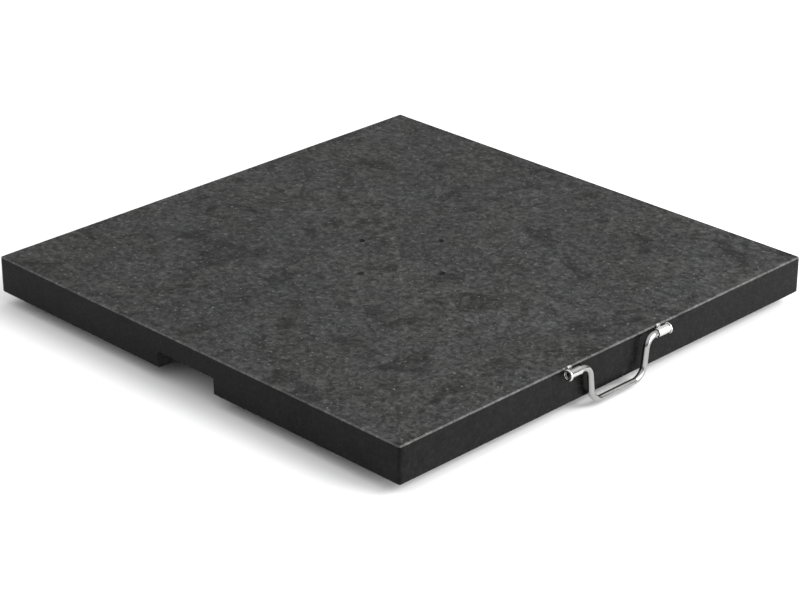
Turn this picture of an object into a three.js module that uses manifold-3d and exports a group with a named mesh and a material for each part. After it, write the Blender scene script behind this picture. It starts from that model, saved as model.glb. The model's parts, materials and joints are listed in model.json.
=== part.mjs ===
// Square granite base for a large parasol. The slab rolls on four castors sunk into its underside,
// carries a stainless bail handle on its +X side, and has a four-bolt seat in the middle of its top.
// Millimetres, +Z up. The origin is the centre of the slab's top face.

import * as THREE from 'three';
import { mergeVertices } from 'three/addons/utils/BufferGeometryUtils.js';
import Module from 'manifold-3d';

const wasm = await Module();
wasm.setup();

// ---------------------------------------------------------------- driving dimensions

const GAP = 0.3; // between pieces that touch, screw together or turn in each other
const PAST = 5; // how far a cutting solid runs past the face that it opens

const SLAB = { side: 800, thickness: 55, arris: 2, cornerRadius: 4 };
const FLOOR_CLEARANCE = 18; // from the floor to the slab's underside

// Bolt seat for the parasol's foot: four holes on a circle, each with a threaded insert.
const SEAT = { circle: 160, holeRadius: 6.3, holeDepth: 34, countersink: 1.2 };
const INSERT = { radius: 6, boreRadius: 4.25, length: 25, below: 6, groove: 0.7, grooveWidth: 8 };

// Hand recesses cut upwards into the two sides next to the handle's side.
const RECESS = { width: 113, height: 25, depth: 38, innerRadius: 20 };

// Bail handle, bent from round bar. It hangs from a pivot just outside the slab's +X face, a little
// to the -Y side of the face's middle. Lengths along Y are from the handle's own middle.
const BAIL = { middle: -4, radius: 4.5, pivotOut: 9.5, pivotBelow: 5.4, end: 100.5, drop: 56 };
const BEND = { topCorner: 57.9, topRadius: 17, gripRadius: 21, lean: 7 * Math.PI / 180, steps: 7 };
const BAIL_END_BORE = { radius: 3.1, depth: 12 };
const SLEEVE = { radius: 6.1, inner: 77, outer: 101.5, collarRadius: 8, collar: 3, ease: 0.6 };
const BRACKET = { at: 89, width: 8, thickness: 2.8, above: 2, below: 18 };
const STUD = { radius: 4, below: 13, depth: 42 };
const ANCHOR = { radius: 5.5, depth: 46 };

// Castors. Heights are above the floor, and the wheel trails behind the swivel axis.
const CASTOR = { inset: 95, pocketRadius: 38, height: 45 };
const WHEEL = { radius: 17.5, width: 15, rimRadius: 12, bossRadius: 5, bossWidth: 16, trail: 13 };
const WEB = { width: 7, rimThickness: 2.5, rimInset: 0.6 };
const TYRE = { shoulder: 2, shoulderWidth: 2.5 };
const FORK = { inside: 17.6, sheet: 2, crownLow: 36.3, crownHigh: 39.3, crownRadius: 15 };
const LEG = { front: 8, back: -11, earRadius: 6, earFrom: 0.94 * Math.PI, earTo: 1.82 * Math.PI };
const AXLE = { radius: 2.5, headRadius: 4.2, head: 2.2, nutRadius: 4.6, nut: 3, spare: 1, ease: 0.5 };
const KINGPIN = { radius: 3, rivetRadius: 5.5, rivet: 1.8, flushRadius: 5, flush: 1.2, ease: 0.8 };
const PLATE = { side: 52, thickness: 3, cornerRadius: 5 };
const RACE = { inner: 6, outer: 13 };
const SCREW = { spacing: 40, radius: 2, headRadius: 3.8, head: 1.8, grip: 12, point: 2, ease: 1 };

// ---------------------------------------------------------------- materials

const FINISHES = {
  granite: { color: 0x4c4d4e, roughness: 0.62, metalness: 0 },
  stainless: { color: 0xc9cbcc, roughness: 0.18, metalness: 1 },
  zinc: { color: 0xa9adb0, roughness: 0.42, metalness: 1 },
  resin: { color: 0x8d8a80, roughness: 0.7, metalness: 0 },
  nylon: { color: 0x2b2c2e, roughness: 0.5, metalness: 0 },
  tread: { color: 0x5d5f61, roughness: 0.75, metalness: 0 },
};

// ---------------------------------------------------------------- solids

function solid(geometry) {
  const bare = geometry.clone();
  bare.deleteAttribute('normal');
  bare.deleteAttribute('uv');
  const merged = mergeVertices(bare, 1e-4);
  const index = merged.index.array;
  const triangles = [];
  for (let i = 0; i < index.length; i += 3) {
    const [a, b, c] = [index[i], index[i + 1], index[i + 2]];
    if (a !== b && b !== c && c !== a) triangles.push(a, b, c);
  }
  const vertProperties = new Float32Array(merged.attributes.position.array);
  const triVerts = new Uint32Array(triangles);
  return new wasm.Manifold(new wasm.Mesh({ numProp: 3, vertProperties, triVerts }));
}

function geometryOf(manifold) {
  const mesh = manifold.getMesh();
  const geometry = new THREE.BufferGeometry();
  geometry.setAttribute('position', new THREE.BufferAttribute(new Float32Array(mesh.vertProperties), 3));
  geometry.setIndex(new THREE.BufferAttribute(new Uint32Array(mesh.triVerts), 1));
  geometry.computeVertexNormals();
  return geometry;
}

// A solid of revolution about Z. The profile is [radius, height] pairs, bottom to top on the outside.
function turned(profile, segments = 16) {
  const points = profile.map(([radius, height]) => new THREE.Vector2(radius, height));
  return new THREE.LatheGeometry(points, segments).rotateX(Math.PI / 2);
}

function disc(radius, low, high, segments = 16) {
  return turned([[0, low], [radius, low], [radius, high], [0, high]], segments);
}

function ring(inner, outer, low, high, segments = 16) {
  return turned([[inner, low], [outer, low], [outer, high], [inner, high], [inner, low]], segments);
}

function raised(shape, low, high, curveSegments = 3) {
  const options = { depth: high - low, bevelEnabled: false, curveSegments };
  return new THREE.ExtrudeGeometry(shape, options).translate(0, 0, low);
}

function roundedRectangle(width, depth, radius) {
  const [x, y] = [width / 2 - radius, depth / 2 - radius];
  const shape = new THREE.Shape();
  shape.absarc(x, y, radius, 0, Math.PI / 2);
  shape.absarc(-x, y, radius, Math.PI / 2, Math.PI);
  shape.absarc(-x, -y, radius, Math.PI, 1.5 * Math.PI);
  shape.absarc(x, -y, radius, 1.5 * Math.PI, 2 * Math.PI);
  shape.closePath();
  return shape;
}

// Turns a Z-axis geometry so that its axis lies along X or Y.
const alongX = (geometry) => geometry.rotateY(Math.PI / 2);
const alongY = (geometry) => geometry.rotateX(-Math.PI / 2);

// ---------------------------------------------------------------- the object

const part = new THREE.Group();

function add(name, shape, finish, parent = part) {
  const geometry = shape instanceof wasm.Manifold ? geometryOf(shape) : geometryOf(solid(shape));
  const mesh = new THREE.Mesh(geometry, new THREE.MeshStandardMaterial(FINISHES[finish]));
  mesh.name = name;
  parent.add(mesh);
  return mesh;
}

const face = SLAB.side / 2;
const underside = -SLAB.thickness;
const floor = underside - FLOOR_CLEARANCE;
const castorReach = face - CASTOR.inset;
const pocketTop = floor + CASTOR.height + GAP;

const castorPlaces = {
  front_left: [castorReach, -castorReach],
  front_right: [castorReach, castorReach],
  rear_left: [-castorReach, -castorReach],
  rear_right: [-castorReach, castorReach],
};
const screwSides = { a: [1, 1], b: [-1, 1], c: [-1, -1], d: [1, -1] };
const seatAngles = [0, 90, 180, 270].map((degrees) => degrees * Math.PI / 180);
const bracketY = (side) => BAIL.middle + side * BRACKET.at;

// ---- granite slab

function slabBlank() {
  const width = SLAB.side - 2 * SLAB.arris;
  const options = {
    depth: SLAB.thickness - 2 * SLAB.arris,
    bevelEnabled: true,
    bevelThickness: SLAB.arris,
    bevelSize: SLAB.arris,
    bevelSegments: 1,
    curveSegments: 1,
  };
  const outline = roundedRectangle(width, width, SLAB.cornerRadius - SLAB.arris);
  return solid(new THREE.ExtrudeGeometry(outline, options).translate(0, 0, underside + SLAB.arris));
}

// The plan of a hand recess, open on the -Y side, with round inner corners.
function recessTool(side) {
  const half = RECESS.width / 2;
  const radius = RECESS.innerRadius;
  const inner = -face + RECESS.depth;
  const shape = new THREE.Shape();
  shape.moveTo(-half, -face - PAST);
  shape.lineTo(half, -face - PAST);
  shape.absarc(half - radius, inner - radius, radius, 0, Math.PI / 2);
  shape.absarc(-half + radius, inner - radius, radius, Math.PI / 2, Math.PI);
  shape.closePath();
  const tool = raised(shape, underside - PAST, underside + RECESS.height);
  return solid(side > 0 ? tool.rotateZ(Math.PI) : tool);
}

function seatHoleTool(angle) {
  const { holeRadius, holeDepth, countersink } = SEAT;
  const profile = [
    [0, -holeDepth],
    [holeRadius, -holeDepth],
    [holeRadius, -countersink],
    [holeRadius + countersink + PAST, PAST],
    [0, PAST],
  ];
  const reach = SEAT.circle / 2;
  return solid(turned(profile).translate(reach * Math.cos(angle), reach * Math.sin(angle), 0));
}

function anchorHoleTool(side) {
  const tool = alongX(disc(ANCHOR.radius + GAP, -ANCHOR.depth - GAP, PAST));
  return solid(tool.translate(face, bracketY(side), -STUD.below));
}

function granite() {
  let body = slabBlank();
  for (const side of [-1, 1]) {
    body = body.subtract(recessTool(side)).subtract(anchorHoleTool(side));
  }
  for (const angle of seatAngles) {
    body = body.subtract(seatHoleTool(angle));
  }
  for (const [x, y] of Object.values(castorPlaces)) {
    const pocket = disc(CASTOR.pocketRadius, underside - PAST, pocketTop, 40);
    body = body.subtract(solid(pocket.translate(x, y, 0)));
    for (const [sx, sy] of Object.values(screwSides)) {
      const hole = disc(SCREW.radius + GAP, pocketTop - PAST, pocketTop + SCREW.grip, 8);
      const [dx, dy] = [sx * SCREW.spacing / 2, sy * SCREW.spacing / 2];
      body = body.subtract(solid(hole.translate(x + dx, y + dy, 0)));
    }
  }
  return body;
}

add('granite_slab', granite(), 'granite');

// ---- threaded inserts of the bolt seat

const insertTop = -INSERT.below;
const insertLow = insertTop - INSERT.length;

function insertGeometry() {
  const { radius, boreRadius, groove, grooveWidth } = INSERT;
  const middle = insertLow + INSERT.length / 2;
  const grooveLow = middle - grooveWidth / 2;
  const grooveHigh = middle + grooveWidth / 2;
  return turned([
    [boreRadius, insertLow],
    [radius, insertLow],
    [radius, grooveLow],
    [radius - groove, grooveLow + groove],
    [radius - groove, grooveHigh - groove],
    [radius, grooveHigh],
    [radius, insertTop],
    [boreRadius, insertTop],
    [boreRadius, insertLow],
  ]);
}

['right', 'back', 'left', 'front'].forEach((place, i) => {
  const [x, y] = [Math.cos(seatAngles[i]), Math.sin(seatAngles[i])].map((c) => c * SEAT.circle / 2);
  add(`threaded_insert_${place}`, insertGeometry().translate(x, y, 0), 'stainless');
});

// ---- bail handle and its pivots

const pivotX = face + BAIL.pivotOut;
const pivotZ = -BAIL.pivotBelow;

class ArcCurve extends THREE.Curve {
  constructor(centre, start, sweep) {
    super();
    Object.assign(this, { centre, start, sweep });
  }

  getPoint(t, target = new THREE.Vector3()) {
    const turn = this.start.clone().applyAxisAngle(new THREE.Vector3(1, 0, 0), t * this.sweep);
    return target.copy(this.centre).add(turn);
  }
}

// Rounds the corner between two straight runs that lie in a plane of constant X.
function bend(before, corner, after, radius) {
  const back = before.clone().sub(corner).normalize();
  const on = after.clone().sub(corner).normalize();
  const half = back.angleTo(on) / 2;
  const from = corner.clone().addScaledVector(back, radius / Math.tan(half));
  const middle = back.clone().add(on).normalize();
  const centre = corner.clone().addScaledVector(middle, radius / Math.sin(half));
  const turn = Math.sign(back.clone().negate().cross(on).x) * (Math.PI - 2 * half);
  return new ArcCurve(centre, from.clone().sub(centre), turn);
}

// A path of straight runs and bends. Each run takes one step of its parameter and each bend several,
// so the sections of a bar extruded along it stand only where the bar changes direction.
class BentPath extends THREE.Curve {
  constructor() {
    super();
    this.pieces = [];
    this.steps = 0;
  }

  add(curve, steps) {
    this.pieces.push([curve, steps]);
    this.steps += steps;
  }

  getUtoTmapping(u) {
    return u;
  }

  getPoint(t, target = new THREE.Vector3()) {
    let along = t * this.steps;
    for (const [curve, steps] of this.pieces) {
      if (along <= steps) return curve.getPoint(along / steps, target);
      along -= steps;
    }
    return this.pieces.at(-1)[0].getPoint(1, target);
  }
}

function bailPath() {
  const point = (y, z) => new THREE.Vector3(pivotX, BAIL.middle + y, z);
  const gripCorner = BEND.topCorner - BAIL.drop * Math.tan(BEND.lean);
  const gripZ = pivotZ - BAIL.drop;
  const corners = [
    point(-BAIL.end, pivotZ),
    point(-BEND.topCorner, pivotZ),
    point(-gripCorner, gripZ),
    point(gripCorner, gripZ),
    point(BEND.topCorner, pivotZ),
    point(BAIL.end, pivotZ),
  ];
  const radii = [BEND.topRadius, BEND.gripRadius, BEND.gripRadius, BEND.topRadius];
  const path = new BentPath();
  let reached = corners[0];
  radii.forEach((radius, i) => {
    const arc = bend(corners[i], corners[i + 1], corners[i + 2], radius);
    path.add(new THREE.LineCurve3(reached, arc.getPoint(0)), 1);
    path.add(arc, BEND.steps);
    reached = arc.getPoint(1);
  });
  path.add(new THREE.LineCurve3(reached, corners[5]), 1);
  return path;
}

function bail() {
  const section = new THREE.Shape();
  section.absarc(0, 0, BAIL.radius, 0, 2 * Math.PI);
  const path = bailPath();
  const options = { steps: path.steps, curveSegments: 7, extrudePath: path };
  let body = solid(new THREE.ExtrudeGeometry(section, options));
  for (const side of [-1, 1]) {
    const bore = alongY(disc(BAIL_END_BORE.radius, -BAIL_END_BORE.depth, BAIL_END_BORE.depth, 16));
    body = body.subtract(solid(bore.translate(pivotX, BAIL.middle + side * BAIL.end, pivotZ)));
  }
  return body;
}

add('bail_handle', bail(), 'stainless');

// A tube with a thicker collar at its outer end, where the bail's end can be seen.
function sleeveGeometry(side) {
  const bore = BAIL.radius + GAP;
  const { radius, inner, outer, collarRadius, collar, ease } = SLEEVE;
  const profile = [
    [bore, inner],
    [radius - ease, inner],
    [radius, inner + ease],
    [radius, outer - collar - ease],
    [collarRadius, outer - collar],
    [collarRadius, outer - ease],
    [collarRadius - ease, outer],
    [bore, outer],
    [bore, inner],
  ];
  const tube = alongY(turned(profile, 20));
  return (side > 0 ? tube : tube.rotateZ(Math.PI)).translate(pivotX, BAIL.middle, pivotZ);
}

// A strip that carries the sleeve, with a stud behind it that is bonded into the slab.
function bracket(side) {
  const low = -BRACKET.below;
  const high = BRACKET.above;
  const strip = new THREE.BoxGeometry(BRACKET.thickness, BRACKET.width, high - low);
  strip.translate(face + GAP + BRACKET.thickness / 2, bracketY(side), (low + high) / 2);
  const stud = alongX(disc(STUD.radius, -STUD.depth, GAP + BRACKET.thickness / 2));
  stud.translate(face, bracketY(side), -STUD.below);
  return solid(strip).add(solid(stud));
}

// The hardened resin between the stud and its drilled hole.
function anchor(side) {
  const plug = alongX(disc(ANCHOR.radius, -ANCHOR.depth, -GAP));
  const hole = alongX(disc(STUD.radius + GAP, -STUD.depth - GAP, PAST));
  const place = [face, bracketY(side), -STUD.below];
  return solid(plug.translate(...place)).subtract(solid(hole.translate(...place)));
}

for (const [name, side] of [['left', -1], ['right', 1]]) {
  add(`pivot_sleeve_${name}`, sleeveGeometry(side), 'stainless');
  add(`pivot_bracket_${name}`, bracket(side), 'stainless');
  add(`resin_anchor_${name}`, anchor(side), 'resin');
}

// ---- castors, each built about its swivel axis with the floor at height 0

const axleX = -WHEEL.trail;
const axleZ = WHEEL.radius;
const plateLow = CASTOR.height - PLATE.thickness;

function topPlate() {
  const { side, cornerRadius } = PLATE;
  let body = solid(raised(roundedRectangle(side, side, cornerRadius), plateLow, CASTOR.height));
  const flushLow = CASTOR.height - KINGPIN.flush - GAP;
  body = body.subtract(solid(disc(KINGPIN.radius + GAP, plateLow - PAST, CASTOR.height + PAST)));
  body = body.subtract(solid(disc(KINGPIN.flushRadius + GAP, flushLow, CASTOR.height + PAST)));
  for (const [sx, sy] of Object.values(screwSides)) {
    const hole = disc(SCREW.radius + GAP, plateLow - PAST, CASTOR.height + PAST, 8);
    body = body.subtract(solid(hole.translate(sx * SCREW.spacing / 2, sy * SCREW.spacing / 2, 0)));
  }
  return body;
}

function kingpinGeometry() {
  const { radius, rivetRadius, rivet, flushRadius, flush, ease } = KINGPIN;
  const rivetTop = FORK.crownLow - GAP;
  return turned([
    [0, rivetTop - rivet],
    [rivetRadius - ease, rivetTop - rivet],
    [rivetRadius, rivetTop - rivet + ease],
    [rivetRadius, rivetTop],
    [radius, rivetTop],
    [radius, CASTOR.height - flush],
    [flushRadius, CASTOR.height - flush],
    [flushRadius, CASTOR.height],
    [0, CASTOR.height],
  ]);
}

function forkLeg(side) {
  const { inside, sheet, crownHigh } = FORK;
  const shape = new THREE.Shape();
  shape.moveTo(LEG.front, crownHigh);
  shape.lineTo(LEG.back, crownHigh);
  shape.absarc(axleX, axleZ, LEG.earRadius, LEG.earFrom, LEG.earTo);
  shape.closePath();
  const leg = raised(shape, -sheet / 2, sheet / 2).rotateX(Math.PI / 2);
  return solid(leg.translate(0, side * (inside + sheet) / 2, 0));
}

function fork() {
  const { inside, sheet, crownLow, crownHigh, crownRadius } = FORK;
  const width = inside + 2 * sheet;
  const crown = solid(disc(crownRadius, crownLow, crownHigh, 20));
  const waist = new THREE.BoxGeometry(3 * crownRadius, width, 3 * crownRadius).translate(0, 0, crownLow);
  const trimmed = crown.intersect(solid(waist));
  let body = trimmed.add(forkLeg(-1)).add(forkLeg(1));
  body = body.subtract(solid(disc(KINGPIN.radius + GAP, crownLow - PAST, crownHigh + PAST)));
  const axleHole = alongY(disc(AXLE.radius + GAP, -width, width, 12));
  return body.subtract(solid(axleHole.translate(axleX, 0, axleZ)));
}

const legOuter = FORK.inside / 2 + FORK.sheet;

function axleGeometry() {
  const { radius, headRadius, head, nut, spare, ease } = AXLE;
  const headHigh = -legOuter - GAP;
  const end = legOuter + 2 * GAP + nut + spare;
  const profile = [
    [0, headHigh - head],
    [headRadius - ease, headHigh - head],
    [headRadius, headHigh - head + ease],
    [headRadius, headHigh],
    [radius, headHigh],
    [radius, end - ease],
    [radius - ease, end],
    [0, end],
  ];
  return alongY(turned(profile, 12)).translate(axleX, 0, axleZ);
}

function axleNut() {
  const low = legOuter + GAP;
  const high = low + AXLE.nut;
  const hexagon = alongY(disc(AXLE.nutRadius, low, high, 6)).translate(axleX, 0, axleZ);
  const bore = alongY(disc(AXLE.radius + GAP, low - PAST, high + PAST, 12)).translate(axleX, 0, axleZ);
  return solid(hexagon).subtract(solid(bore));
}

function hubGeometry() {
  const { width, rimRadius, bossRadius, bossWidth } = WHEEL;
  const bore = AXLE.radius + GAP;
  const rim = rimRadius - GAP;
  const rimInner = rim - WEB.rimThickness;
  const outside = [
    [bossRadius, bossWidth / 2],
    [bossRadius, WEB.width / 2],
    [rimInner, WEB.width / 2],
    [rimInner, width / 2 - WEB.rimInset],
    [rim, width / 2 - WEB.rimInset],
  ];
  const lower = outside.map(([radius, height]) => [radius, -height]);
  const profile = [[bore, -bossWidth / 2], ...lower, ...outside.reverse(), [bore, bossWidth / 2]];
  return alongY(turned([...profile, [bore, -bossWidth / 2]])).translate(axleX, 0, axleZ);
}

function tyreGeometry() {
  const { radius, width, rimRadius } = WHEEL;
  const half = width / 2;
  const profile = [
    [rimRadius, -half],
    [radius - TYRE.shoulder, -half],
    [radius, -half + TYRE.shoulderWidth],
    [radius, half - TYRE.shoulderWidth],
    [radius - TYRE.shoulder, half],
    [rimRadius, half],
    [rimRadius, -half],
  ];
  return alongY(turned(profile, 28)).translate(axleX, 0, axleZ);
}

function screwGeometry() {
  const { radius, headRadius, head, grip, point, ease } = SCREW;
  const headHigh = plateLow - GAP;
  const tip = CASTOR.height + grip;
  return turned([
    [0, headHigh - head],
    [headRadius - ease, headHigh - head],
    [headRadius, headHigh - head + ease],
    [headRadius, headHigh],
    [radius, headHigh],
    [radius, tip - point],
    [0, tip],
  ], 8);
}

for (const [place, [x, y]] of Object.entries(castorPlaces)) {
  const castor = new THREE.Group();
  castor.position.set(x, y, floor);
  part.add(castor);
  const name = `castor_${place}`;
  const race = ring(RACE.inner, RACE.outer, FORK.crownHigh + GAP, plateLow - GAP);
  add(`${name}_plate`, topPlate(), 'zinc', castor);
  add(`${name}_ball_race`, race, 'zinc', castor);
  add(`${name}_kingpin`, kingpinGeometry(), 'zinc', castor);
  add(`${name}_fork`, fork(), 'zinc', castor);
  add(`${name}_axle`, axleGeometry(), 'zinc', castor);
  add(`${name}_axle_nut`, axleNut(), 'zinc', castor);
  add(`${name}_hub`, hubGeometry(), 'nylon', castor);
  add(`${name}_tyre`, tyreGeometry(), 'tread', castor);
  for (const [letter, [sx, sy]] of Object.entries(screwSides)) {
    const screw = add(`${name}_screw_${letter}`, screwGeometry(), 'zinc', castor);
    screw.position.set(sx * SCREW.spacing / 2, sy * SCREW.spacing / 2, 0);
  }
}

export default part;
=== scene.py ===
import json
import math

import bmesh
import bpy
import numpy as np
from mathutils import Matrix, Vector, noise


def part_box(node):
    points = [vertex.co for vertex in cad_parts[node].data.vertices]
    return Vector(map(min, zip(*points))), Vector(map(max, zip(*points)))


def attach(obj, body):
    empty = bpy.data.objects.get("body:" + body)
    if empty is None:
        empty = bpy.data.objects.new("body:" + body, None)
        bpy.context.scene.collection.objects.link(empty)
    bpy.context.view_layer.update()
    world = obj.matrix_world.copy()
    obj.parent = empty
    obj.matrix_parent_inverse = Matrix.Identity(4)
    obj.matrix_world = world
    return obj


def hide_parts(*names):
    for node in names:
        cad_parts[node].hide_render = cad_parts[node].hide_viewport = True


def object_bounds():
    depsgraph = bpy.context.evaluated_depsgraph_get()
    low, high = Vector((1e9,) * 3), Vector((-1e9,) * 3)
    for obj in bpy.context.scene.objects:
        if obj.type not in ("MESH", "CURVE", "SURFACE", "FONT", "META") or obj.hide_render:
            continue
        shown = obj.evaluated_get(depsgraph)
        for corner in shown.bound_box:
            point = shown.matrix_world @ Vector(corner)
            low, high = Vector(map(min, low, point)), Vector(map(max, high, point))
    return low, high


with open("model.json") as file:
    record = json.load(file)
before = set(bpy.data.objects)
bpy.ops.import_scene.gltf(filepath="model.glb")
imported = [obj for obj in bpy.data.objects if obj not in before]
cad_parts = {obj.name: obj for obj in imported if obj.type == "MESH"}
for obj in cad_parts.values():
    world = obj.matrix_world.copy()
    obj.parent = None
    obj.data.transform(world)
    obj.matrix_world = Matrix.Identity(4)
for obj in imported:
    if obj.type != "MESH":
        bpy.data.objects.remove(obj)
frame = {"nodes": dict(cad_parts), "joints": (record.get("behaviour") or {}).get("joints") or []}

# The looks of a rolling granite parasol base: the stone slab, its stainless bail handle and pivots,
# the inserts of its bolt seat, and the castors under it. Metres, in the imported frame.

cad_low, cad_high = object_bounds()

MM = 0.001
TAU = 2 * math.pi
CASTORS = ("front_left", "front_right", "rear_left", "rear_right")


def box_of(node):
    """A CAD node's lowest corner, highest corner and middle."""
    low, high = (Vector(corner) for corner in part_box(node))
    return low, high, (low + high) / 2


# ---------------------------------------------------------------- node materials

MIX_FIRST, MIX_SECOND, MIX_RESULT = 6, 7, 2     # the colour sockets of a Mix node, which share their names


def fill_ramp(elements, stops):
    """Each stop is a position and a grey value or a colour."""
    while len(elements) < len(stops):
        elements.new(1.0)
    for element, (position, value) in zip(elements, stops):
        element.position = position
        element.color = (value, value, value, 1) if isinstance(value, float) else (*value, 1)


class Material:
    """A material around one Principled shader, with a method for each kind of node it is built from."""

    def __init__(self, name, **sockets):
        self.material = bpy.data.materials.new(name)
        self.material.use_nodes = True
        self.tree = self.material.node_tree
        self.shader = self.tree.nodes["Principled BSDF"]
        for socket, value in sockets.items():
            self.shader.inputs[socket.replace("_", " ")].default_value = value
        self.where = self.node("ShaderNodeTexCoord").outputs["Object"]

    def node(self, kind, settings=None, **inputs):
        made = self.tree.nodes.new(kind)
        for key, value in (settings or {}).items():
            setattr(made, key, value)
        for socket, value in inputs.items():
            self.feed(made.inputs[socket.replace("_", " ")], value)
        return made

    def feed(self, socket, value):
        if isinstance(value, bpy.types.NodeSocket):
            self.tree.links.new(value, socket)
        else:
            socket.default_value = value

    def set(self, socket, value):
        self.feed(self.shader.inputs[socket], value)

    def stretched(self, stretch):
        mapping = self.node("ShaderNodeMapping", Vector=self.where, Scale=stretch)
        return mapping.outputs["Vector"]

    def noise(self, scale, detail=5.0, roughness=0.55, distortion=0.0, where=None):
        made = self.node("ShaderNodeTexNoise", Vector=where or self.where, Scale=scale, Detail=detail,
                         Roughness=roughness, Distortion=distortion)
        return made.outputs["Fac"]

    def cells(self, scale, output="Color"):
        made = self.node("ShaderNodeTexVoronoi", Vector=self.where, Scale=scale)
        return made.outputs[output]

    def ramp(self, factor, *stops):
        made = self.node("ShaderNodeValToRGB", Fac=factor)
        fill_ramp(made.color_ramp.elements, stops)
        return made.outputs["Color"]

    def mix(self, factor, first, second, blend="MIX"):
        made = self.node("ShaderNodeMix", {"data_type": "RGBA", "blend_type": blend})
        self.feed(made.inputs["Factor"], factor)
        for socket, value in ((MIX_FIRST, first), (MIX_SECOND, second)):
            self.feed(made.inputs[socket], (*value, 1) if isinstance(value, tuple) else value)
        return made.outputs[MIX_RESULT]

    def math(self, operation, first, second):
        made = self.node("ShaderNodeMath", {"operation": operation})
        self.feed(made.inputs[0], first)
        self.feed(made.inputs[1], second)
        return made.outputs[0]

    def bump(self, *layers):
        """Each layer is a height, its depth in metres and its strength."""
        normal = None
        for height, distance, strength in layers:
            made = self.node("ShaderNodeBump", Height=height, Distance=distance, Strength=strength)
            if normal is not None:
                self.feed(made.inputs["Normal"], normal)
            normal = made.outputs["Normal"]
        self.set("Normal", normal)


def granite(name, dark, light, fleck, roughness, gloss, relief, mottle=1.0):
    """Fine-grained black granite. dark and light are its ground tones and fleck its feldspar grains.
    relief is the depth of its fine and coarse grain, mottle how strongly its blotches and tints show."""
    stone = Material(name, Specular_IOR_Level=gloss)

    def swing(low, high):
        return 1 + (low - 1) * mottle, 1 + (high - 1) * mottle

    def tinted(*shift):
        return tuple(1 + mottle * channel for channel in shift)

    grain = stone.noise(120.0, 6.0, 0.7, 0.6)
    ground = stone.mix(stone.ramp(grain, (0.39, 0.0), (0.63, 1.0)), dark, light)
    # Blotches, clouds, dark patches and pale grains. Each is a noise, where its ramp starts and ends,
    # and the tones there.
    layers = [(stone.noise(44.0, 4.0, 0.6, 0.4), 0.36, 0.64, 0.74, 1.26),
              (stone.noise(6.0, 4.0, 0.6), 0.36, 0.64, 0.86, 1.14),
              (stone.noise(16.0, 4.0, 0.55, 0.8), 0.580, 0.612, 1.0, 0.58),
              (stone.noise(70.0, 2.0, 0.5, 0.4), 0.60, 0.70, 1.0, 1.45)]
    for factor, start, end, first, last in layers:
        first, last = swing(first, last)
        ground = stone.mix(1.0, ground, stone.ramp(factor, (start, first), (end, last)), "MULTIPLY")
    tint = stone.mix(stone.ramp(stone.noise(8.0, 3.0), (0.38, 0.0), (0.62, 1.0)),
                     tinted(-0.012, 0.0, 0.012), tinted(0.016, 0.002, -0.018))
    ground = stone.mix(1.0, ground, tint, "MULTIPLY")
    crystals = stone.ramp(stone.cells(330.0), (0.0, 0.82), (1.0, 1.20))
    ground = stone.mix(1.0, ground, crystals, "MULTIPLY")
    feldspar = stone.ramp(stone.noise(160.0, 3.0, 0.6, 0.3), (0.61, 0.0), (0.71, 1.0))
    ground = stone.mix(feldspar, ground, fleck)
    quartz = stone.ramp(stone.cells(95.0, "Distance"), (0.06, 0.7), (0.15, 0.0))
    rare = stone.ramp(stone.noise(30.0, 2.0), (0.59, 0.0), (0.63, 1.0))
    ground = stone.mix(stone.math("MULTIPLY", quartz, rare), ground, tuple(1.6 * c for c in fleck))
    stone.set("Base Color", ground)
    low, high = roughness
    stone.set("Roughness", stone.ramp(grain, (0.3, low), (0.7, high)))
    fine, coarse = relief
    stone.bump((grain, coarse, 0.7), (stone.noise(620.0, 3.0, 0.6), fine, 0.6))
    return stone.material


def brushed_metal(name, tone, roughness, marks, stretch):
    """Metal with a faint directional grain. marks is the grain's depth, stretch its direction."""
    metal = Material(name, Metallic=1.0)
    lines = metal.noise(55.0, 5.0, 0.6, 0.0, metal.stretched(stretch))
    smudges = metal.noise(60.0, 3.0, 0.5, 0.3)
    low, high = roughness
    metal.set("Roughness", metal.ramp(smudges, (0.3, low), (0.72, high)))
    shade = metal.ramp(lines, (0.2, 0.9), (0.8, 1.05))
    metal.set("Base Color", metal.mix(1.0, tone, shade, "MULTIPLY"))
    metal.bump((lines, marks, 0.5))
    return metal.material


def zinc_plate():
    """Blue-passivated zinc with a faint yellow iridescence and dull patches."""
    zinc = Material("zinc_plate", Metallic=1.0)
    film = zinc.ramp(zinc.noise(70.0, 4.0, 0.6, 0.8), (0.3, (0.44, 0.47, 0.53)), (0.55, (0.55, 0.56, 0.57)),
                     (0.75, (0.60, 0.56, 0.47)))
    zinc.set("Base Color", film)
    zinc.set("Roughness", zinc.ramp(zinc.noise(240.0, 5.0, 0.65), (0.3, 0.28), (0.7, 0.52)))
    zinc.bump((zinc.noise(900.0, 3.0, 0.6), 0.02 * MM, 0.5))
    return zinc.material


def moulded(name, tone, roughness, relief):
    """Moulded plastic or rubber with a fine eroded texture and dusty high spots."""
    plastic = Material(name, Specular_IOR_Level=0.4)
    dust = plastic.noise(130.0, 6.0, 0.65, 0.2)
    pale = tuple(min(1.0, 1.7 * channel + 0.01) for channel in tone)
    plastic.set("Base Color", plastic.mix(plastic.ramp(dust, (0.4, 0.0), (0.75, 1.0)), tone, pale))
    low, high = roughness
    plastic.set("Roughness", plastic.ramp(dust, (0.3, low), (0.7, high)))
    plastic.bump((plastic.noise(1300.0, 3.0, 0.6), relief, 0.6))
    return plastic.material


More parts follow.
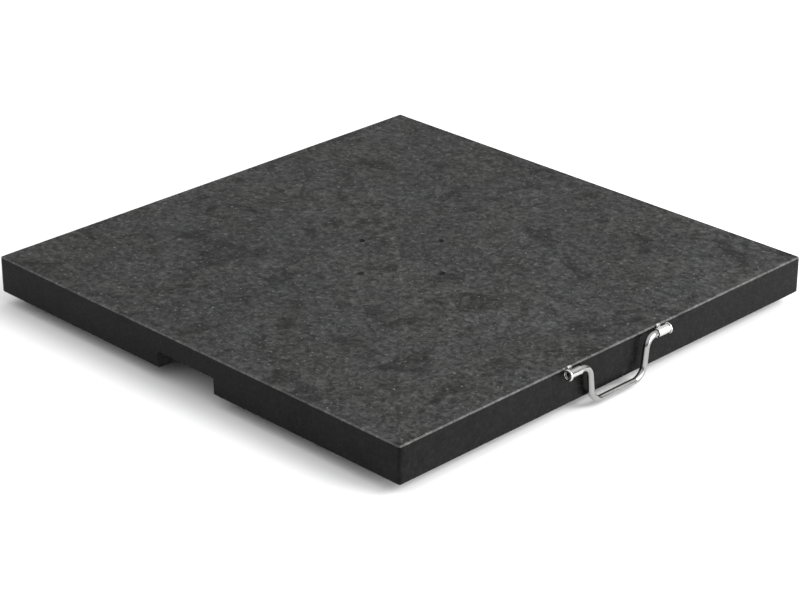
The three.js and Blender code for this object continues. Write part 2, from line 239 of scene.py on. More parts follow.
TOP = granite("granite_leathered", dark=(0.0128, 0.0128, 0.0127), light=(0.0485, 0.0486, 0.0481),
              fleck=(0.098, 0.0985, 0.097), roughness=(0.55, 0.78), gloss=0.13, relief=(0.12 * MM, 0.9 * MM))
SIDE = granite("granite_honed", dark=(0.0048, 0.0048, 0.0048), light=(0.0078, 0.0078, 0.0077),
               fleck=(0.0131, 0.0131, 0.0130), roughness=(0.22, 0.30), gloss=0.055,
               relief=(0.004 * MM, 0.01 * MM), mottle=0.5)
# The arris granite is lighter than the top and the sides: a painted highlight along the top chamfer, where
# the edge catches the light.
ARRIS_HIGHLIGHT = granite("granite_arris_painted_highlight", dark=(0.045, 0.0452, 0.045), light=(0.10, 0.10, 0.099),
                fleck=(0.15, 0.15, 0.148), roughness=(0.55, 0.75), gloss=0.2,
                relief=(0.05 * MM, 0.15 * MM), mottle=0.4)
# The sawn granite is a real sawn finish, its grey set darker as painted shade for the hand recesses.
SAWN_SHADED = granite("granite_sawn_painted_shade", dark=(0.025, 0.0255, 0.0255), light=(0.05, 0.0505, 0.0505),
               fleck=(0.085, 0.085, 0.084), roughness=(0.60, 0.80), gloss=0.2, relief=(0.08 * MM, 0.2 * MM))
# One stainless steel in two tones: the bail's is darkened as painted shade for the dark reflections along it,
# and the sleeves' is lighter as a painted highlight. Their grain runs differently.
POLISHED_SHADED = brushed_metal("stainless_polished", (0.33, 0.33, 0.326), (0.17, 0.25), 0.006 * MM, (1, 6, 1))
TURNED_LIT = brushed_metal("stainless_turned_painted_highlight", (0.56, 0.56, 0.55), (0.17, 0.25), 0.006 * MM, (1, 12, 1))
SATIN = brushed_metal("stainless_satin", (0.50, 0.50, 0.495), (0.28, 0.40), 0.01 * MM, (1, 1, 9))
ZINC = zinc_plate()
NYLON = moulded("nylon_black", (0.021, 0.021, 0.023), (0.36, 0.55), 0.03 * MM)
TREAD = moulded("tread_grey", (0.10, 0.103, 0.106), (0.55, 0.80), 0.05 * MM)
RESIN = moulded("anchor_resin", (0.27, 0.26, 0.23), (0.50, 0.75), 0.08 * MM)


# ---------------------------------------------------------------- mesh building

def new_object(name, mesh, *materials):
    piece = bpy.data.objects.new(name, mesh)
    bpy.context.scene.collection.objects.link(piece)
    for material in materials:
        mesh.materials.append(material)
    return piece


def smooth(mesh, degrees=35):
    mesh.shade_smooth()
    mesh.set_sharp_from_angle(angle=math.radians(degrees))


def skin(name, rings, material, loop=False):
    """A closed surface through rings of points. A ring of one point is a pole; loop joins last to first."""
    bm = bmesh.new()
    rows = [[bm.verts.new(point) for point in ring] for ring in rings]
    pairs = list(zip(rows, rows[1:]))
    if loop:
        pairs.append((rows[-1], rows[0]))
    for low, high in pairs:
        count = max(len(low), len(high))
        for i in range(count):
            j = (i + 1) % count
            corners = [low[i % len(low)], low[j % len(low)], high[j % len(high)], high[i % len(high)]]
            bm.faces.new(list(dict.fromkeys(corners)))
    bmesh.ops.recalc_face_normals(bm, faces=bm.faces)
    mesh = bpy.data.meshes.new(name)
    bm.to_mesh(mesh)
    bm.free()
    smooth(mesh)
    return new_object(name, mesh, material)


def circle(radius, segments):
    angles = [TAU * i / segments for i in range(segments)]
    return [(radius * math.cos(angle), radius * math.sin(angle)) for angle in angles]


def turning(axis):
    """The matrix that turns +Z to the given axis, with no twist."""
    return Vector(axis).to_track_quat("Z", "Y").to_matrix().to_4x4()


def lathe(name, profile, material, centre=(0, 0, 0), axis=(0, 0, 1), segments=48, loop=False):
    """A solid of revolution. The profile is radius and height pairs along the axis, from the centre."""
    place = Matrix.Translation(centre) @ turning(axis)
    rings = []
    for radius, height in profile:
        points = [(0, 0)] if radius == 0 else circle(radius, segments)
        rings.append([place @ Vector((x, y, height)) for x, y in points])
    return skin(name, rings, material, loop)


def sweep(name, stations, material, segments=40):
    """A round bar along stations of point, direction and radius, in a plane of constant X."""
    across = Vector((1, 0, 0))
    rings = []
    for point, direction, radius in stations:
        if radius == 0:
            rings.append([point])
            continue
        other = direction.cross(across).normalized()
        rings.append([point + across * x + other * y for x, y in circle(radius, segments)])
    return skin(name, rings, material)


def prism(name, rings):
    """A closed solid between two outlines of the same number of points."""
    bm = bmesh.new()
    low, high = [[bm.verts.new(point) for point in ring] for ring in rings]
    bm.faces.new(low)
    bm.faces.new(high)
    for a in range(len(low)):
        b = (a + 1) % len(low)
        bm.faces.new((low[a], low[b], high[b], high[a]))
    bmesh.ops.recalc_face_normals(bm, faces=bm.faces)
    bmesh.ops.triangulate(bm, faces=bm.faces)
    mesh = bpy.data.meshes.new(name)
    bm.to_mesh(mesh)
    bm.free()
    return new_object(name, mesh)


def cut(piece, tools, operation="DIFFERENCE"):
    """Cuts the piece with each tool, and removes the tools."""
    for tool in tools:
        modifier = piece.modifiers.new("cut", "BOOLEAN")
        modifier.operation = operation
        modifier.solver = "MANIFOLD"
        modifier.object = tool
        apply_modifiers(piece)
        bpy.data.objects.remove(tool)


def apply_modifiers(piece):
    graph = bpy.context.evaluated_depsgraph_get()
    mesh = bpy.data.meshes.new_from_object(piece.evaluated_get(graph))
    piece.modifiers.clear()
    old = piece.data
    piece.data = mesh
    bpy.data.meshes.remove(old)


# ---------------------------------------------------------------- granite slab

slab_low, slab_high, _ = box_of("granite_slab")
HALF = (slab_high.x - slab_low.x) / 2
ARRIS_SIZE = 2 * MM
CORNER_RADIUS = 4 * MM
GRID_STEP = 3.2 * MM
RELIEF_DEPTH = 0.9 * MM
RECESS = {"half_width": 56.5 * MM, "height": 25 * MM, "depth": 38 * MM, "radius": 20 * MM}
SEAT_HOLE = {"radius": 6.3 * MM, "depth": 34 * MM, "countersink": 0.5 * MM}
POCKET_RADIUS = 38 * MM
TOOL_REACH = 6 * MM         # how far a cutting tool stands out of the stone
TOOL_GAP = 0.3 * MM         # room left round a piece that sits in the stone
SEAT_PLACES = ("right", "back", "left", "front")
SIDE_BANDS = 8
CHIPS = {"arris": 0.5 * MM, "side": 0.04 * MM, "underside": 0.25 * MM}


def grid_lines():
    """Places of the top's grid lines: close together near the edges, then even."""
    edge = HALF - ARRIS_SIZE
    close = [edge, edge - 0.5 * MM, edge - 1.2 * MM, edge - 2.4 * MM]
    inner = edge - 4.5 * MM
    count = round(2 * inner / GRID_STEP)
    even = [inner - 2 * inner * i / count for i in range(count + 1)]
    return np.array(sorted(close + even + [-place for place in close]))


def relief(x, y):
    """How far the leathered top lies under its highest plane, from 0 to 1."""
    point = Vector((x, y, 0.0))
    swell = noise.fractal(point * 14.0, 1.0, 2.0, 2)
    knobs = noise.fractal(point * 75.0 + Vector((7.3, 1.9, 4.1)), 0.85, 2.1, 3)
    pits = max(0.0, noise.noise(point * 130.0 + Vector((3.7, 8.8, 2.2))) - 0.28)
    return min(1.0, max(0.0, 0.38 + 0.16 * swell + 0.34 * knobs + 0.9 * pits))


def slab_rings(lines):
    """The slab's outline at each height from the arris down, one point per end of a grid line."""
    last = len(lines) - 1
    walk = [(i, 0) for i in range(last)] + [(last, j) for j in range(last)]
    walk += [(i, last) for i in range(last, 0, -1)] + [(0, j) for j in range(last, 0, -1)]
    scale = 1 / (HALF - ARRIS_SIZE)
    square = [(lines[i] * scale, lines[j] * scale) for i, j in walk]
    low, high = slab_low.z, slab_high.z
    levels = [(0.0, high - ARRIS_SIZE)]
    for i in range(1, SIDE_BANDS):
        levels.append((0.0, high - ARRIS_SIZE - i * (high - low - 2 * ARRIS_SIZE) / SIDE_BANDS))
    levels += [(0.0, low + ARRIS_SIZE), (ARRIS_SIZE, low)]
    rings = []
    for inset, z in levels:
        half = HALF - inset
        radius = CORNER_RADIUS - inset
        ring = []
        for u, v in square:
            point = Vector((u * half, v * half))
            core = Vector([max(radius - half, min(half - radius, c)) for c in point])
            ring.append((*(core + (point - core).normalized() * radius), z))
        rings.append(ring)
    return walk, rings


def chip(point, size):
    """Moves a point inwards by a small uneven amount, as on an eased stone edge."""
    wear = 0.5 + 0.5 * noise.fractal(Vector(point) * 55.0, 0.9, 2.0, 3)
    wear = min(1.0, max(0.0, wear)) ** 2
    return tuple(c * (1 - size * wear / HALF) if axis < 2 else c for axis, c in enumerate(point))


def slab_blank():
    lines = grid_lines()
    count = len(lines)
    edge = HALF - ARRIS_SIZE
    bm = bmesh.new()
    top = np.empty((count, count), object)
    for i, x in enumerate(lines):
        for j, y in enumerate(lines):
            inside = min(edge - abs(x), edge - abs(y))
            fade = min(1.0, 0.18 + inside / (6 * MM))
            depth = 0.02 * MM + RELIEF_DEPTH * fade * relief(x, y)
            top[i, j] = bm.verts.new((x, y, slab_high.z - depth))
    for i in range(count - 1):
        for j in range(count - 1):
            bm.faces.new((top[i, j], top[i + 1, j], top[i + 1, j + 1], top[i, j + 1]))
    walk, rings = slab_rings(lines)
    above = [top[i, j] for i, j in walk]
    for level, ring in enumerate(rings):
        size = CHIPS["arris" if level == 0 else "underside" if level >= len(rings) - 2 else "side"]
        below = [bm.verts.new(chip(point, size)) for point in ring]
        for a in range(len(walk)):
            b = (a + 1) % len(walk)
            bm.faces.new((above[b], above[a], below[a], below[b]))
        above = below
    bm.faces.new(above)
    bmesh.ops.recalc_face_normals(bm, faces=bm.faces)
    mesh = bpy.data.meshes.new("slab")
    bm.to_mesh(mesh)
    bm.free()
    return new_object("slab", mesh)


def recess_tool(side):
    """A prism over a hand recess's plan, open on the side of the given sign of Y."""
    half, radius = RECESS["half_width"], RECESS["radius"]
    inner = HALF - RECESS["depth"]
    steps = 10
    corner = [(math.sin(TAU / 4 * i / steps), math.cos(TAU / 4 * i / steps)) for i in range(steps + 1)]
    right = [(half - radius + radius * s, inner + radius - radius * c) for s, c in corner]
    plan = [(half, HALF + TOOL_REACH)] + right[::-1]
    plan += [(-x, y) for x, y in reversed(plan)]
    low, high = slab_low.z - TOOL_REACH, slab_low.z + RECESS["height"]
    rings = [[Vector((side * x, side * y, z)) for x, y in plan] for z in (low, high)]
    return prism("recess", rings)


def seat_hole_tool(place):
    middle = box_of(f"threaded_insert_{place}")[2]
    radius, depth, sink = (SEAT_HOLE[key] for key in ("radius", "depth", "countersink"))
    top = slab_high.z
    profile = [(0, top - depth), (radius, top - depth), (radius, top - sink),
               (radius + sink + TOOL_REACH, top + TOOL_REACH), (0, top + TOOL_REACH)]
    return lathe("seat_hole", profile, None, (middle.x, middle.y, 0), segments=40)


def pocket_tool(place):
    _, high, middle = box_of(f"castor_{place}_plate")
    top = high.z + TOOL_GAP
    profile = [(0, slab_low.z - TOOL_REACH), (POCKET_RADIUS, slab_low.z - TOOL_REACH),
               (POCKET_RADIUS, top), (0, top)]
    return lathe("pocket", profile, None, (middle.x, middle.y, 0), segments=72)


def anchor_hole_tool(side):
    low, high, middle = box_of(f"resin_anchor_{side}")
    radius = (high.z - low.z) / 2 + TOOL_GAP
    reach = high.x - low.x + TOOL_REACH
    profile = [(0, 0), (radius, 0), (radius, reach), (0, reach)]
    return lathe("anchor_hole", profile, None, (low.x, middle.y, middle.z), (1, 0, 0), segments=24)


def dress_slab(mesh):
    """Gives each face the finish of where it lies: leathered, honed, arris or sawn. The arris granite is
    lighter as a painted highlight, and the sawn granite darker as painted shade in the recesses.
    """
    for material in (TOP, SIDE, ARRIS_HIGHLIGHT, SAWN_SHADED):
        mesh.materials.append(material)
    leathered, honed, eased, sawn = range(4)
    core = HALF - CORNER_RADIUS
    for polygon in mesh.polygons:
        centre, normal = polygon.center, polygon.normal
        beyond = Vector((max(0.0, abs(centre.x) - core), max(0.0, abs(centre.y) - core)))
        inside = CORNER_RADIUS - beyond.length
        if normal.z > 0.75 and centre.z > slab_high.z - 1.2 * MM:
            polygon.material_index = leathered
        elif inside < 1.0 * MM and abs(normal.z) < 0.3:
            polygon.material_index = honed
        # Upward chamfers get the lighter arris granite, a painted highlight; downward ones stay honed.
        elif inside < 2.2 * MM and abs(normal.z) > 0.3:
            polygon.material_index = eased if normal.z > 0 else honed
        else:
            # Cut faces get the sawn granite, darkened as painted shade.
            polygon.material_index = sawn


slab = slab_blank()
tools = [recess_tool(side) for side in (-1, 1)]
tools += [seat_hole_tool(place) for place in SEAT_PLACES]
tools += [pocket_tool(place) for place in CASTORS]
tools += [anchor_hole_tool(side) for side in ("left", "right")]
cut(slab, tools)
slab.data.materials.clear()
dress_slab(slab.data)
smooth(slab.data, 30)
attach(slab, "base")
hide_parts("granite_slab")


# ---------------------------------------------------------------- bail handle

PIVOT = Vector(next(joint for joint in frame["joints"] if joint["name"] == "bail_swing")["pos_m"])
BAIL = {"radius": 4.5 * MM, "end": 100.5 * MM, "drop": 56 * MM, "bore": 3.1 * MM, "bore_depth": 11 * MM}
BEND = {"corner": 57.9 * MM, "top": 17 * MM, "grip": 21 * MM, "lean": math.radians(7), "steps": 16}


def bend_stations(before, corner, after, radius):
    """Points and directions round the corner between two straight runs."""
    back, on = (before - corner).normalized(), (after - corner).normalized()
    half = back.angle(on) / 2
    start = corner + back * radius / math.tan(half)
    centre = corner + (back + on).normalized() * radius / math.sin(half)
    axis = (-back).cross(on).normalized()
    stations = []
    for i in range(BEND["steps"] + 1):
        turn = Matrix.Rotation((math.pi - 2 * half) * i / BEND["steps"], 3, axis)
        stations.append((centre + turn @ (start - centre), turn @ -back))
    return stations


def bail_end(side):
    """Stations from the bottom of the end's bore out to its rim and on to the bar's outside."""
    outward, along = Vector((0, side, 0)), Vector((0, 1, 0))
    tip = PIVOT + outward * BAIL["end"]
    bore, radius = BAIL["bore"], BAIL["radius"]
    ease = 0.5 * MM
    profile = [(0, BAIL["bore_depth"]), (bore, BAIL["bore_depth"] - 1 * MM), (bore, 0.4 * MM),
               (bore + 0.3 * MM, 0), (radius - ease, 0), (radius - 0.15 * MM, 0.15 * MM), (radius, ease)]
    return [(tip - outward * inset, along, size) for size, inset in profile]


def bail_stations():
    gather = BEND["corner"] - BAIL["drop"] * math.tan(BEND["lean"])
    rows = [(-BAIL["end"], 0), (-BEND["corner"], 0), (-gather, -BAIL["drop"]), (gather, -BAIL["drop"]),
            (BEND["corner"], 0), (BAIL["end"], 0)]
    corners = [PIVOT + Vector((0, y, z)) for y, z in rows]
    radii = (BEND["top"], BEND["grip"], BEND["grip"], BEND["top"])
    stations = bail_end(-1)
    for i, radius in enumerate(radii):
        for point, direction in bend_stations(*corners[i:i + 3], radius):
            stations.append((point, direction, BAIL["radius"]))
    return stations + bail_end(1)[::-1]


# The bail takes the darker steel, painted shade.
bail = sweep("bail", bail_stations(), POLISHED_SHADED)
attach(bail, "bail")
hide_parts("bail_handle")


# ---------------------------------------------------------------- pivots of the bail

SLEEVE = {"radius": 6.1 * MM, "collar_radius": 8 * MM, "collar": 3 * MM, "bore": 4.8 * MM}


def sleeve(side, sign):
    """A turned tube with an eased inner end and a rounded collar round its outer end."""
    low, high, _ = box_of(f"pivot_sleeve_{side}")
    length = high.y - low.y
    radius, bore = SLEEVE["radius"], SLEEVE["bore"]
    collar, collar_radius = SLEEVE["collar"], SLEEVE["collar_radius"]
    profile = [(bore + 0.3 * MM, 0), (radius - 0.8 * MM, 0), (radius - 0.2 * MM, 0.25 * MM),
               (radius, 0.8 * MM), (radius, length - collar - 1 * MM),
               (radius + 0.25 * MM, length - collar - 0.4 * MM),
               (collar_radius - 0.3 * MM, length - collar), (collar_radius, length - collar + 0.5 * MM)]
    steps = 5
    round_over = 1.6 * MM
    for i in range(steps + 1):
        angle = TAU / 4 * i / steps
        profile.append((collar_radius - round_over * (1 - math.cos(angle)),
                        length - round_over * (1 - math.sin(angle))))
    profile += [(bore + 0.4 * MM, length), (bore, length - 0.4 * MM), (bore, 0.3 * MM)]
    start = low.y if sign > 0 else high.y
    # The sleeves take the lighter steel, a painted highlight.
    piece = lathe(f"sleeve_{side}", profile, TURNED_LIT, (PIVOT.x, start, PIVOT.z), (0, sign, 0), 56, True)
    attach(piece, "base")
    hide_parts(f"pivot_sleeve_{side}")


def rounded_outline(width, height, radius, steps=6):
    """Points round a rectangle with round corners, about its middle."""
    points = []
    for quarter, (sx, sy) in enumerate(((1, 1), (-1, 1), (-1, -1), (1, -1))):
        cx, cy = sx * (width / 2 - radius), sy * (height / 2 - radius)
        for i in range(steps + 1):
            angle = TAU / 4 * (quarter + i / steps)
            points.append((cx + radius * math.cos(angle), cy + radius * math.sin(angle)))
    return points


def bracket(side):
    """The strip against the slab with eased edges, and the stud behind it."""
    low, high, middle = box_of(f"pivot_bracket_{side}")
    front = high.x
    back = slab_high.x + 0.3 * MM
    width, height = high.y - low.y, high.z - low.z
    ease = 0.35 * MM
    rings = [[Vector((front, middle.y, middle.z))]]
    layers = [(2 * ease, front), (ease, front - 0.2 * ease), (0.2 * ease, front - ease),
              (0, front - 2 * ease), (0, back)]
    for inset, x in layers:
        outline = rounded_outline(width - 2 * inset, height - 2 * inset, 2.2 * MM - inset)
        rings.append([Vector((x, middle.y + y, middle.z + z)) for y, z in outline])
    rings.append([Vector((back, middle.y, middle.z))])
    strip = skin(f"bracket_{side}", rings, SATIN)
    stud_z = box_of(f"resin_anchor_{side}")[2].z
    stud = [(0, 0), (3.4 * MM, 0), (4 * MM, 0.6 * MM), (4 * MM, back - low.x + 1 * MM),
            (0, back - low.x + 1 * MM)]
    tool = lathe("stud", stud, SATIN, (low.x, middle.y, stud_z), (1, 0, 0), 32)
    cut(strip, [tool], "UNION")
    smooth(strip.data)
    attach(strip, "base")
    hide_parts(f"pivot_bracket_{side}")


for side, sign in (("left", -1), ("right", 1)):
    sleeve(side, sign)
    bracket(side)
    frame["nodes"][f"resin_anchor_{side}"].data.materials[0] = RESIN


# ---------------------------------------------------------------- threaded inserts

def insert(place):
    """A stainless bush with a threaded bore and a grooved outside."""
    low, high, middle = box_of(f"threaded_insert_{place}")
    bore, radius, length = 4.25 * MM, 6 * MM, high.z - low.z
    pitch = 1.5 * MM
    profile = [(bore, 0), (radius - 0.4 * MM, 0), (radius, 0.4 * MM), (radius, length / 2 - 4 * MM),
               (radius - 0.7 * MM, length / 2 - 3 * MM), (radius - 0.7 * MM, length / 2 + 3 * MM),
               (radius, length / 2 + 4 * MM), (radius, length - 0.4 * MM), (radius - 0.4 * MM, length),
               (bore + 0.9 * MM, length)]
    turns = int((length - 2 * MM) / pitch)
    for i in range(turns):
        crest = length - 0.9 * MM - i * pitch
        profile += [(bore, crest), (bore + 0.7 * MM, crest - pitch / 2)]
    piece = lathe(f"insert_{place}", profile, SATIN, (middle.x, middle.y, low.z), segments=40, loop=True)
    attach(piece, "base")
    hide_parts(f"threaded_insert_{place}")


for place in SEAT_PLACES:
    insert(place)


# ---------------------------------------------------------------- castors

# Each piece of a castor is made once, about the point of the floor under its swivel axis, in
# millimetres, and then placed four times.

WHEEL_X, WHEEL_Z = -13, 17.5
WHEEL = (WHEEL_X, 0, WHEEL_Z)
ACROSS = (0, 1, 0)          # the axle's direction
PLATE_WIDTH, PLATE_CORNER = 52, 5
CROWN_RADIUS, CROWN_LOW, CROWN_HIGH = 15, 36.3, 39.3
LEG_INNER, LEG_OUTER, EAR_RADIUS = 8.8, 10.8, 6
RIBS = 6


def bevel(piece, width):
    modifier = piece.modifiers.new("bevel", "BEVEL")
    modifier.width = width
    modifier.segments = 2
    modifier.limit_method = "ANGLE"
    modifier.angle_limit = math.radians(40)
    apply_modifiers(piece)


def plate_piece():
    rings = [[Vector((0, 0, 42))]]
    for inset, z in ((0.6, 42), (0.15, 42.15), (0, 42.6), (0, 44.4), (0.15, 44.85), (0.6, 45)):
        width = PLATE_WIDTH - 2 * inset
        outline = rounded_outline(width, width, PLATE_CORNER - inset)
        rings.append([Vector((x, y, z)) for x, y in outline])
    rings.append([Vector((0, 0, 45))])
    plate = skin("plate", rings, ZINC)
    holes = [(0, 0, ((0, 41), (3.3, 41), (3.3, 43.5), (5.3, 43.5), (5.3, 46), (0, 46)))]
    for x, y in SCREW_PLACES.values():
        holes.append((x, y, ((0, 41), (2.8, 41), (2.3, 42.5), (2.3, 46), (0, 46))))
    cut(plate, [lathe("hole", profile, ZINC, (x, y, 0), segments=28) for x, y, profile in holes])
    return plate


def race_piece():
    profile = [(6, 39.6), (12.3, 39.6), (12.8, 39.75), (13, 40.2), (13, 40.45), (12.5, 40.6), (12.5, 40.75),
               (13, 40.9), (13, 41.3), (12.8, 41.6), (12.4, 41.7), (6, 41.7)]
    return lathe("race", profile, ZINC, segments=56, loop=True)


def kingpin_piece():
    profile = [(0, 34.2), (2, 34.26), (3.6, 34.5), (4.8, 35), (5.35, 35.5), (5.5, 36), (3, 36), (3, 43.8),
               (5, 43.8), (5, 44.8), (4.8, 45), (0, 45)]
    return lathe("kingpin", profile, ZINC, segments=40)


def fork_piece():
    reach = math.asin(LEG_OUTER / CROWN_RADIUS)
    arc = [reach * (i / 10 - 1) for i in range(21)]
    crown = [(CROWN_RADIUS * math.cos(angle), CROWN_RADIUS * math.sin(angle)) for angle in arc]
    crown += [(-x, -y) for x, y in crown]
    fork = prism("fork", [[Vector((x, y, z)) for x, y in crown] for z in (CROWN_LOW, CROWN_HIGH)])
    ear = [TAU * (0.47 + 0.44 * i / 18) for i in range(19)]
    leg = [(8, CROWN_HIGH), (-11, CROWN_HIGH)]
    leg += [(WHEEL_X + EAR_RADIUS * math.cos(angle), WHEEL_Z + EAR_RADIUS * math.sin(angle)) for angle in ear]
    legs = [prism("leg", [[Vector((x, side * y, z)) for x, z in leg] for y in (LEG_INNER, LEG_OUTER)])
            for side in (-1, 1)]
    cut(fork, legs, "UNION")
    axle_hole = lathe("hole", [(0, -20), (2.8, -20), (2.8, 20), (0, 20)], None, WHEEL, ACROSS, 28)
    king_hole = lathe("hole", [(0, 30), (3.3, 30), (3.3, 46), (0, 46)], None, segments=28)
    cut(fork, [axle_hole, king_hole])
    bevel(fork, 0.45)
    return fork


def axle_piece():
    profile = [(0, -13.3), (1.8, -13.25), (3, -12.95), (3.8, -12.4), (4.2, -11.7), (4.2, -11.1), (2.5, -11.1),
               (2.5, 14.8), (1.9, 15.4), (0, 15.4)]
    return lathe("axle", profile, ZINC, WHEEL, ACROSS, 40)


def nut_piece():
    nut = lathe("nut", [(0, 11.1), (4.6, 11.1), (4.6, 14.1), (0, 14.1)], ZINC, WHEEL, ACROSS, 6)
    ease = [(0, 11.1), (4.0, 11.1), (4.7, 11.5), (4.7, 13.6), (4.0, 14.1), (0, 14.1)]
    cut(nut, [lathe("ease", ease, ZINC, WHEEL, ACROSS, 48)], "INTERSECT")
    bore = [(0, 10), (2.8, 10), (2.8, 13.6), (3.4, 14.4), (3.4, 16), (0, 16)]
    cut(nut, [lathe("bore", bore, ZINC, WHEEL, ACROSS, 32)])
    return nut


def hub_piece():
    half = [(2.8, 7.7), (3.1, 8), (4.7, 8), (5, 7.7), (5.1, 4), (5.6, 3.5), (8.7, 3.5), (9.2, 4), (9.3, 6.4),
            (9.6, 6.9), (11.4, 6.9), (11.7, 6.6)]
    profile = half + [(radius, -height) for radius, height in reversed(half)]
    hub = lathe("hub", profile, NYLON, WHEEL, ACROSS, 64, True)
    ribs = []
    for i in range(RIBS):
        turn = Matrix.Translation(WHEEL) @ Matrix.Rotation(TAU * i / RIBS, 4, "Y")
        for low, high in ((-5.8, -3.2), (3.2, 5.8)):
            outline = ((4.4, -0.7), (9.8, -0.7), (9.8, 0.7), (4.4, 0.7))
            ribs.append(prism("rib", [[turn @ Vector((x, y, z)) for x, z in outline] for y in (low, high)]))
    cut(hub, ribs, "UNION")
    return hub


def tyre_piece():
    half = [(12, 7.5), (15.0, 7.5)]
    shoulder = [TAU / 4 * i / 6 for i in range(7)]
    half += [(15.4 + 2.1 * math.sin(angle), 5.2 + 2.3 * math.cos(angle)) for angle in shoulder]
    for groove in (3.6, 1.2):
        half += [(17.5, groove + 0.35), (17.2, groove + 0.15), (17.2, groove - 0.15), (17.5, groove - 0.35)]
    profile = half + [(radius, -height) for radius, height in reversed(half)]
    return lathe("tyre", profile, TREAD, WHEEL, ACROSS, 72, True)


def screw_piece():
    head = [(0, 39.9), (1.4, 39.95), (2.6, 40.2), (3.4, 40.7), (3.8, 41.3), (3.8, 41.7), (2, 41.7), (2, 46.5)]
    thread = []
    for i in range(7):
        thread += [(1.45, 46.9 + 1.2 * i), (2, 47.5 + 1.2 * i)]
    screw = lathe("screw", head + thread + [(1.45, 55.2), (0, 57)], ZINC, segments=28)
    bars = []
    for turn in (0, TAU / 4):
        outline = ((-1.7, -0.35), (1.7, -0.35), (1.7, 0.35), (-1.7, 0.35))
        spin = Matrix.Rotation(turn + TAU / 8, 4, "Z")
        bars.append(prism("bar", [[spin @ Vector((x, y, z)) for x, y in outline] for z in (38, 40.9)]))
    cut(screw, bars)
    return screw


SCREW_PLACES = {"a": (20, 20), "b": (-20, 20), "c": (-20, -20), "d": (20, -20)}
PIECES = {
    "plate": (plate_piece, "base", "zinc"),
    "ball_race": (race_piece, "base", "zinc"),
    "kingpin": (kingpin_piece, "base", "zinc"),
    "fork": (fork_piece, "fork", "zinc"),
    "axle": (axle_piece, "fork", "zinc"),
    "axle_nut": (nut_piece, "fork", "zinc"),
    "hub": (hub_piece, "wheel", "nylon"),
    "tyre": (tyre_piece, "wheel", "tread"),
    "screw": (screw_piece, "base", "zinc"),
}
FINISHES = {"zinc": ZINC, "nylon": NYLON, "tread": TREAD}


def place_piece(pattern, node, body, where):
    mesh = pattern.copy()
    mesh.transform(Matrix.Translation(where) @ Matrix.Scale(MM, 4))
    piece = new_object(node, mesh)
    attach(piece, body)
    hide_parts(node)


def castors():
    for part, (make, body, slot) in PIECES.items():
        piece = make()
        pattern = piece.data
        bpy.data.objects.remove(piece)
        pattern.materials.clear()
        pattern.materials.append(FINISHES[slot])
        smooth(pattern)
        for place in CASTORS:
            name = f"castor_{place}"
            middle = box_of(f"{name}_plate")[2]
            swivel = Vector((middle.x, middle.y, box_of(f"{name}_tyre")[0].z))
            rider = "base" if body == "base" else f"{place}_{body}"
            if part == "screw":
                for letter, (x, y) in SCREW_PLACES.items():
                    where = swivel + Vector((x, y, 0)) * MM
                    place_piece(pattern, f"{name}_screw_{letter}", rider, where)
            else:
                place_piece(pattern, f"{name}_{part}", rider, swivel)


castors()


# ---------------------------------------------------------------- floor, light and camera

FLOOR_Z = cad_low.z
FLOOR_REACH = 30.0
SKY = ((0.0, 0.16), (0.22, 0.2), (0.5, 0.8), (1.0, 1.0))    # the world's grey by the height looked towards
SKY_STRENGTH = 1.31
SENSOR_WIDTH = 36
CAMERA = {"azimuth": 45.025, "elevation": 25.033, "roll": 0.013, "distance": 3.5721, "right": 0.0,
          "up": -0.0146, "lens": 113.04, "aim": -0.052}


def make_floor():
    floor = Material("studio_floor", Roughness=0.9, Specular_IOR_Level=0.1)
    paper = floor.ramp(floor.noise(3.0, 4.0, 0.6), (0.3, 0.86), (0.7, 0.89))
    floor.set("Base Color", paper)
    floor.bump((floor.noise(400.0, 3.0, 0.6), 0.05 * MM, 0.3))
    mesh = bpy.data.meshes.new("floor")
    corners = [(FLOOR_REACH * x, FLOOR_REACH * y, FLOOR_Z) for x, y in ((-1, -1), (1, -1), (1, 1), (-1, 1))]
    mesh.from_pydata(corners, [], [(0, 1, 2, 3)])
    new_object("floor", mesh, floor.material)


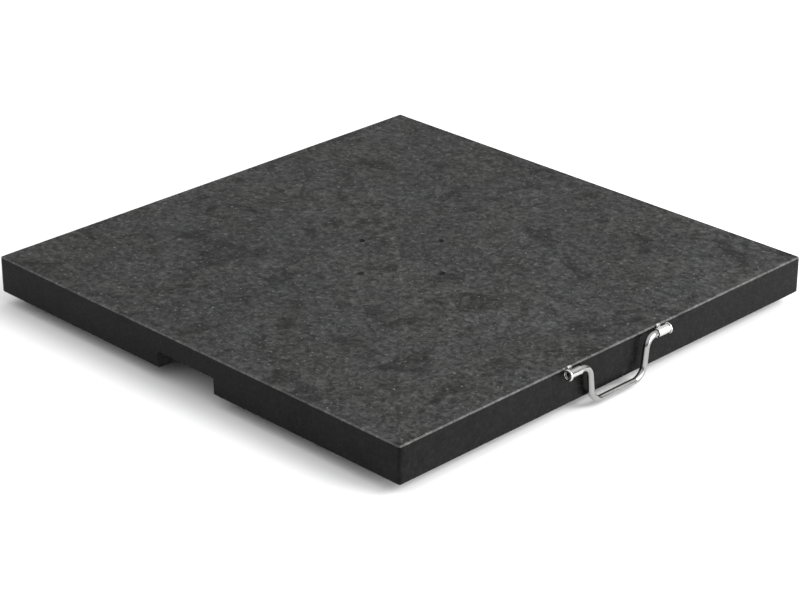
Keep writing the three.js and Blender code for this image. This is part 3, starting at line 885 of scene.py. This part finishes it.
def softbox(name, place, aim, size, power):
    light = bpy.data.lights.new(name, "AREA")
    light.shape = "RECTANGLE"
    light.size, light.size_y = size
    light.energy = power
    lamp = bpy.data.objects.new(name, light)
    lamp.location = place
    lamp.rotation_mode = "QUATERNION"
    lamp.rotation_quaternion = (Vector(aim) - Vector(place)).to_track_quat("-Z", "Y")
    bpy.context.scene.collection.objects.link(lamp)


def make_light():
    scene = bpy.context.scene
    scene.view_settings.view_transform = "Standard"
    world = bpy.data.worlds.new("studio")
    world.use_nodes = True
    nodes, links = world.node_tree.nodes, world.node_tree.links
    direction = nodes.new("ShaderNodeTexCoord").outputs["Generated"]
    height = nodes.new("ShaderNodeSeparateXYZ")
    links.new(direction, height.inputs[0])
    sky = nodes.new("ShaderNodeValToRGB")
    links.new(height.outputs["Z"], sky.inputs["Fac"])
    fill_ramp(sky.color_ramp.elements, SKY)
    background = nodes["Background"]
    links.new(sky.outputs["Color"], background.inputs["Color"])
    background.inputs["Strength"].default_value = SKY_STRENGTH
    scene.world = world
    softbox("key", place=(3.0, 1.0, 2.3), aim=(0, 0, 0), size=(2.2, 1.6), power=131)
    softbox("side", place=(2.8, 0.7, 0.5), aim=(0.4, 0, -0.03), size=(1.6, 0.9), power=52)


def make_camera():
    azimuth, elevation, roll = (math.radians(CAMERA[key]) for key in ("azimuth", "elevation", "roll"))
    back = Vector((math.sin(azimuth) * math.cos(elevation), -math.cos(azimuth) * math.cos(elevation),
                   math.sin(elevation)))
    right = Vector((math.cos(azimuth), math.sin(azimuth), 0))
    up = back.cross(right)
    right, up = (right * math.cos(roll) + up * math.sin(roll), up * math.cos(roll) - right * math.sin(roll))
    data = bpy.data.cameras.new("camera")
    data.lens, data.sensor_width = CAMERA["lens"], SENSOR_WIDTH
    camera = bpy.data.objects.new("camera", data)
    aim = Vector((0, 0, CAMERA["aim"]))
    place = aim + back * CAMERA["distance"] + right * CAMERA["right"] + up * CAMERA["up"]
    turn = Matrix((right, up, back)).transposed().to_4x4()
    camera.matrix_world = Matrix.Translation(place) @ turn
    bpy.context.scene.collection.objects.link(camera)
    bpy.context.scene.camera = camera


make_floor()
make_light()
make_camera()
